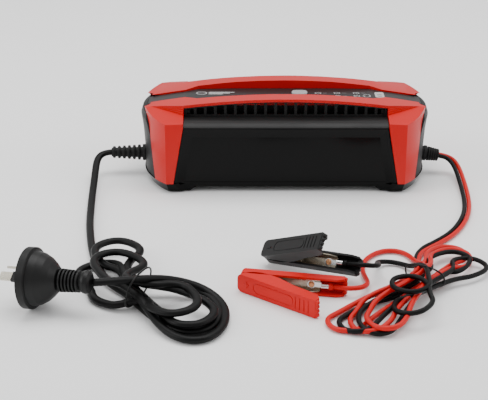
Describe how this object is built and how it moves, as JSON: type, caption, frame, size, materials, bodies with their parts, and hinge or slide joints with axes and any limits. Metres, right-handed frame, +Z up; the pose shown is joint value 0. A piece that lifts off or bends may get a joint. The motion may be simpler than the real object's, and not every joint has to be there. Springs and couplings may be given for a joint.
{
  "type": "car battery charger",
  "caption": "Mains battery charger for vehicles: an arched case with a coiled mains lead and plug, and a twin lead ending in a pair of spring clamps.",
  "frame": {"origin": "middle of the case's footprint, on the surface it stands on", "axes": "+X along the case towards the battery leads, +Y to the back, +Z up"},
  "size_m": [0.3512, 0.3694, 0.0764],
  "materials": {
    "shell_red": "moulded gloss",
    "case_black": "fine matte",
    "panel_black": "polished",
    "label_print": "printed label",
    "button_grey": "satin",
    "rubber_black": "soft matte",
    "screw_steel": "zinc plated",
    "board_green": "solder mask",
    "post_black": "moulded",
    "core_grey": "ferrite",
    "winding_copper": "enamelled copper",
    "winding_tape": "yellow tape",
    "can_black": "sleeved can",
    "heat_sink_alu": "extruded",
    "fuse_glass": "clear",
    "led_clear": "clear",
    "cord_black": "satin cord jacket",
    "cord_red": "satin cord jacket",
    "plug_black": "satin",
    "blade_metal": "plated",
    "tie_black": "wire tie",
    "clamp_red": "satin",
    "clamp_black": "satin",
    "jaw_steel": "passivated",
    "spring_steel": "bright",
    "rivet_copper": "copper",
    "terminal_tin": "tinned"
  },
  "bodies": {
    "charger": {"battery_lead_gland": "rubber_black", "battery_lead_hank": "cord_red", "battery_lead_tie": "tie_black", "black_lead": "cord_black", "black_lead_to_clamp": "cord_black", "blade_sleeves": "plug_black", "board_screws": "screw_steel", "button_switch": "post_black", "case_screws": "screw_steel", "control_overlay": "label_print", "display_board": "board_green", "front_fascia": "panel_black", "front_shell": "shell_red", "front_vent_grille": "case_black", "input_capacitor": "can_black", "input_heat_sink": "heat_sink_alu", "leds": "led_clear", "left_end_cap": "case_black", "light_pipes": "led_clear", "lower_case": "panel_black", "main_board": "board_green", "mains_cord": "cord_black", "mains_fuse": "fuse_glass", "mains_gland": "rubber_black", "mains_hank": "cord_black", "mains_hank_tie": "tie_black", "negative_fixed_cover": "clamp_black", "negative_fixed_jaw": "jaw_steel", "negative_pivot_pin": "spring_steel", "negative_rivet": "rivet_copper", "negative_spring": "spring_steel", "negative_terminal": "terminal_tin", "output_capacitors": "can_black", "output_choke": "winding_copper", "output_heat_sink": "heat_sink_alu", "plug_blades": "blade_metal", "plug_body": "plug_black", "positive_fixed_cover": "clamp_red", "positive_fixed_jaw": "jaw_steel", "positive_pivot_pin": "spring_steel", "positive_rivet": "rivet_copper", "positive_spring": "spring_steel", "positive_terminal": "terminal_tin", "power_transistors": "post_black", "rear_fascia": "panel_black", "rear_shell": "shell_red", "rear_vent_grille": "case_black", "red_lead": "cord_red", "red_lead_to_clamp": "cord_red", "right_end_cap": "case_black", "rubber_feet": "rubber_black", "transformer_bobbin": "post_black", "transformer_core": "core_grey", "transformer_winding": "winding_tape", "upper_case": "case_black"},
    "positive_lever": {"positive_lever_cover": "clamp_red", "positive_lever_jaw": "jaw_steel"},
    "negative_lever": {"negative_lever_cover": "clamp_black", "negative_lever_jaw": "jaw_steel"},
    "select_button": {"select_button": "button_grey"}
  },
  "joints": [
    {"name": "positive_jaw_hinge", "type": "hinge", "parent": "charger", "child": "positive_lever", "pos_m": [-0.01392, -0.23736, 0.0067], "axis": [0, 0, 1], "range_deg": [0, 22], "stiffness_Nm_per_rad": 0.3, "springref_deg": -28.65, "deforming": ["positive_spring"]},
    {"name": "negative_jaw_hinge", "type": "hinge", "parent": "charger", "child": "negative_lever", "pos_m": [0.00173, -0.201, 0.01222], "axis": [0.3125, 0.6502, 0.6925], "range_deg": [0, 22], "stiffness_Nm_per_rad": 0.3, "springref_deg": -28.65, "deforming": ["negative_spring"]},
    {"name": "select_button_press", "type": "slide", "parent": "charger", "child": "select_button", "axis": [0, 0, -1], "range_m": [0, 0.0008], "stiffness_N_per_m": 500, "springref_m": -0.0015}
  ]
}
